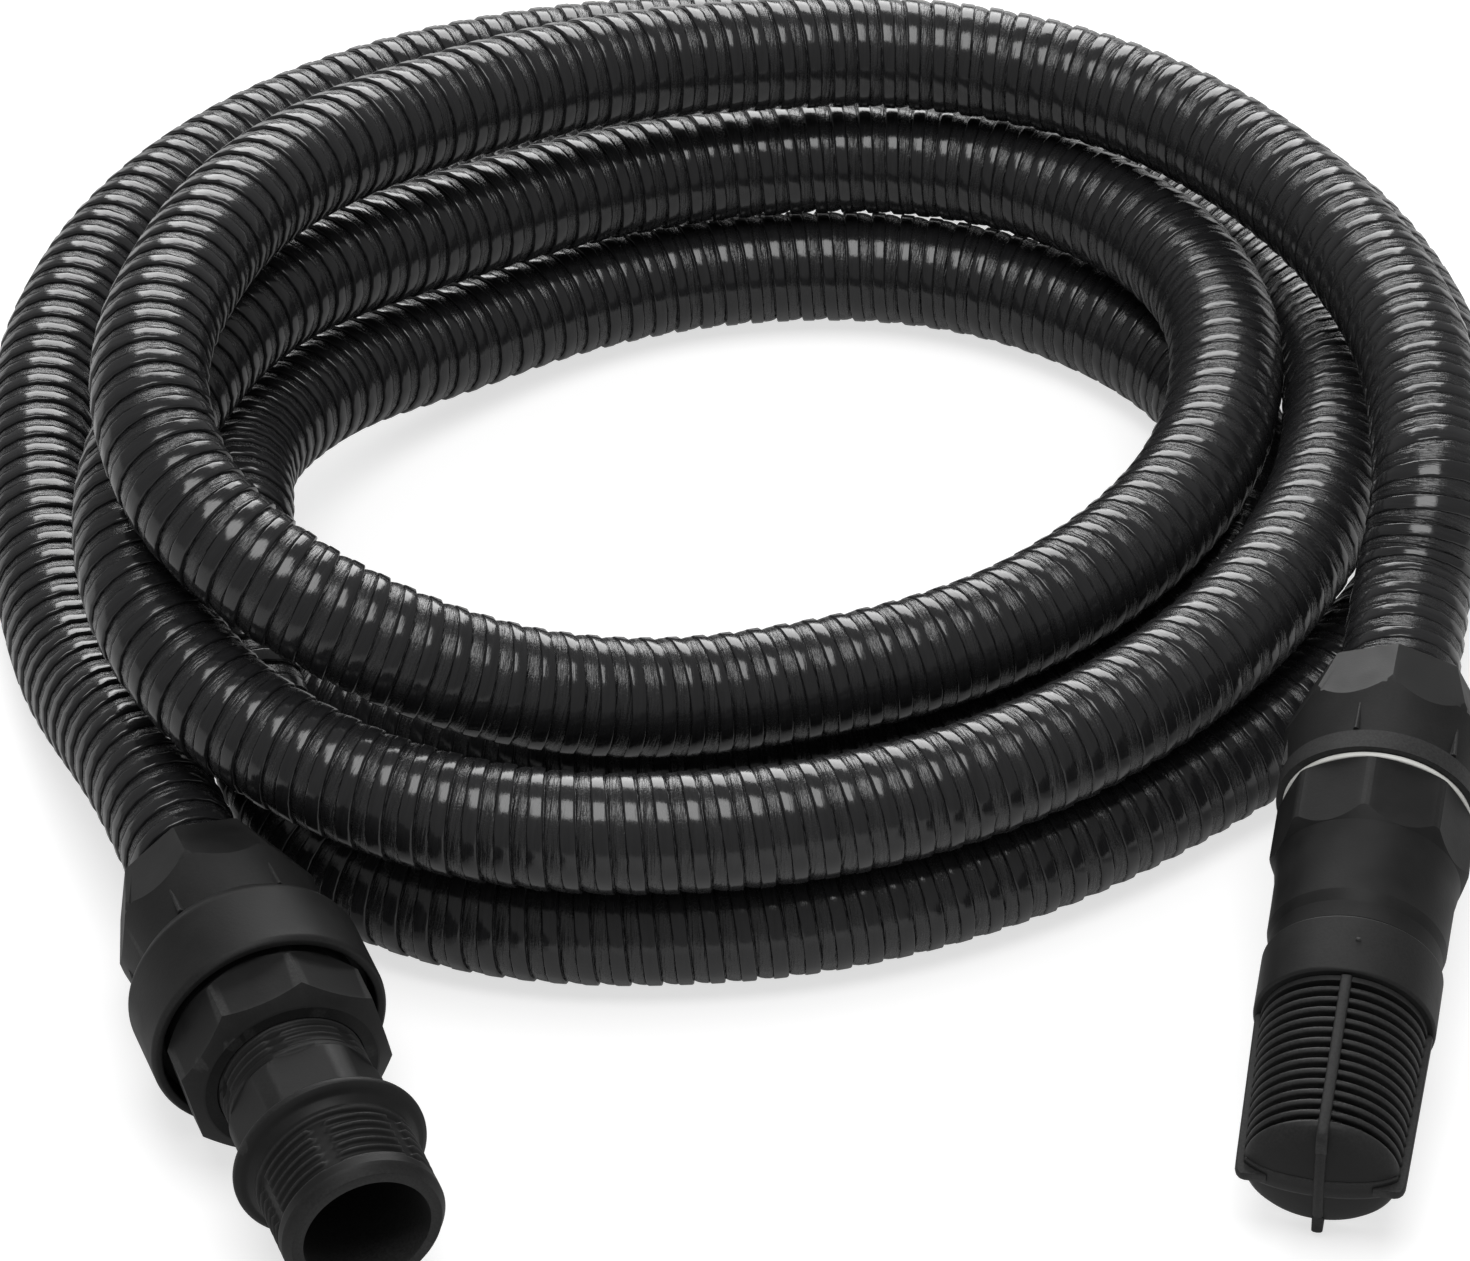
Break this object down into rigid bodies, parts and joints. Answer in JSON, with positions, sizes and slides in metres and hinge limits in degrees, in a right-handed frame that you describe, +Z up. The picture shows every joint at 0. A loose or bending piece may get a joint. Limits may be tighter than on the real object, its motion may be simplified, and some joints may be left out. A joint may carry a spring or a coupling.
{
  "type": "suction hose",
  "caption": "Coiled ribbed suction hose with a threaded pump union at one end and a foot valve with a strainer basket at the other.",
  "frame": {"origin": "on the floor under the middle of the coiled hose and its fittings", "axes": "+Z up from the floor, -Y the side on which both fittings lie, +X towards the foot valve"},
  "size_m": [0.3404, 0.4294, 0.1022],
  "materials": {
    "hose_plastic": "glossy ribs, satin valleys",
    "fitting_plastic": "fine moulded grain",
    "clamp_plastic": "smooth",
    "seal_rubber": "matt",
    "pale_seal": "satin",
    "spring_steel": "bright drawn wire"
  },
  "bodies": {
    "hose": {"hose": "hose_plastic", "pump_hose_washer": "seal_rubber", "pump_hose_tail": "fitting_plastic", "union_collar": "fitting_plastic", "union_gasket": "seal_rubber", "suction_hose_washer": "seal_rubber", "suction_hose_tail": "fitting_plastic", "seal_ring": "pale_seal", "valve_body": "fitting_plastic", "stem_guide": "clamp_plastic", "valve_spring": "spring_steel"},
    "pump_clamp": {"pump_clamp_ring": "clamp_plastic"},
    "pump_nut": {"pump_hose_nut": "fitting_plastic"},
    "union_nut": {"union_nut": "fitting_plastic"},
    "nipple": {"pump_nipple": "fitting_plastic"},
    "suction_clamp": {"suction_clamp_ring": "clamp_plastic"},
    "suction_nut": {"suction_hose_nut": "fitting_plastic"},
    "poppet": {"valve_poppet": "clamp_plastic", "poppet_seal": "seal_rubber"},
    "strainer": {"strainer_band": "fitting_plastic", "strainer_basket": "fitting_plastic"}
  },
  "joints": [
    {"name": "pump_clamp_back", "type": "slide", "parent": "hose", "child": "pump_clamp", "axis": [-0.3567, 0.9342, 0], "range_m": [0, 0.006]},
    {"name": "pump_nut_turn", "type": "hinge", "parent": "pump_clamp", "child": "pump_nut", "pos_m": [-0.10564, -0.12028, 0.0245], "axis": [-0.3567, 0.9342, 0], "range_deg": [0, 720]},
    {"name": "union_nut_turn", "type": "hinge", "parent": "hose", "child": "union_nut", "pos_m": [-0.09226, -0.15531, 0.0245], "axis": [0.3567, -0.9342, 0], "continuous": true},
    {"name": "nipple_swivel", "type": "hinge", "parent": "hose", "child": "nipple", "pos_m": [-0.08442, -0.17586, 0.0245], "axis": [0.3567, -0.9342, 0], "continuous": true},
    {"name": "suction_clamp_back", "type": "slide", "parent": "hose", "child": "suction_clamp", "axis": [0.1777, 0.9683, 0.1754], "range_m": [0, 0.006]},
    {"name": "suction_nut_turn", "type": "hinge", "parent": "suction_clamp", "child": "suction_nut", "pos_m": [0.13291, -0.07952, 0.03672], "axis": [0.1777, 0.9683, 0.1754], "range_deg": [0, 720]},
    {"name": "poppet_lift", "type": "slide", "parent": "hose", "child": "poppet", "axis": [0.1777, 0.9683, 0.1754], "range_m": [0, 0.005], "stiffness_N_per_m": 80, "springref_m": -0.006, "deforming": ["valve_spring"]},
    {"name": "strainer_pull", "type": "slide", "parent": "hose", "child": "strainer", "axis": [-0.1777, -0.9683, -0.1754], "range_m": [0, 0.012]}
  ],
  "couplings": [
    {"joint": "pump_clamp_back", "follows": "pump_nut_turn", "m_per_rad": 0.000477},
    {"joint": "suction_clamp_back", "follows": "suction_nut_turn", "m_per_rad": 0.000477}
  ]
}
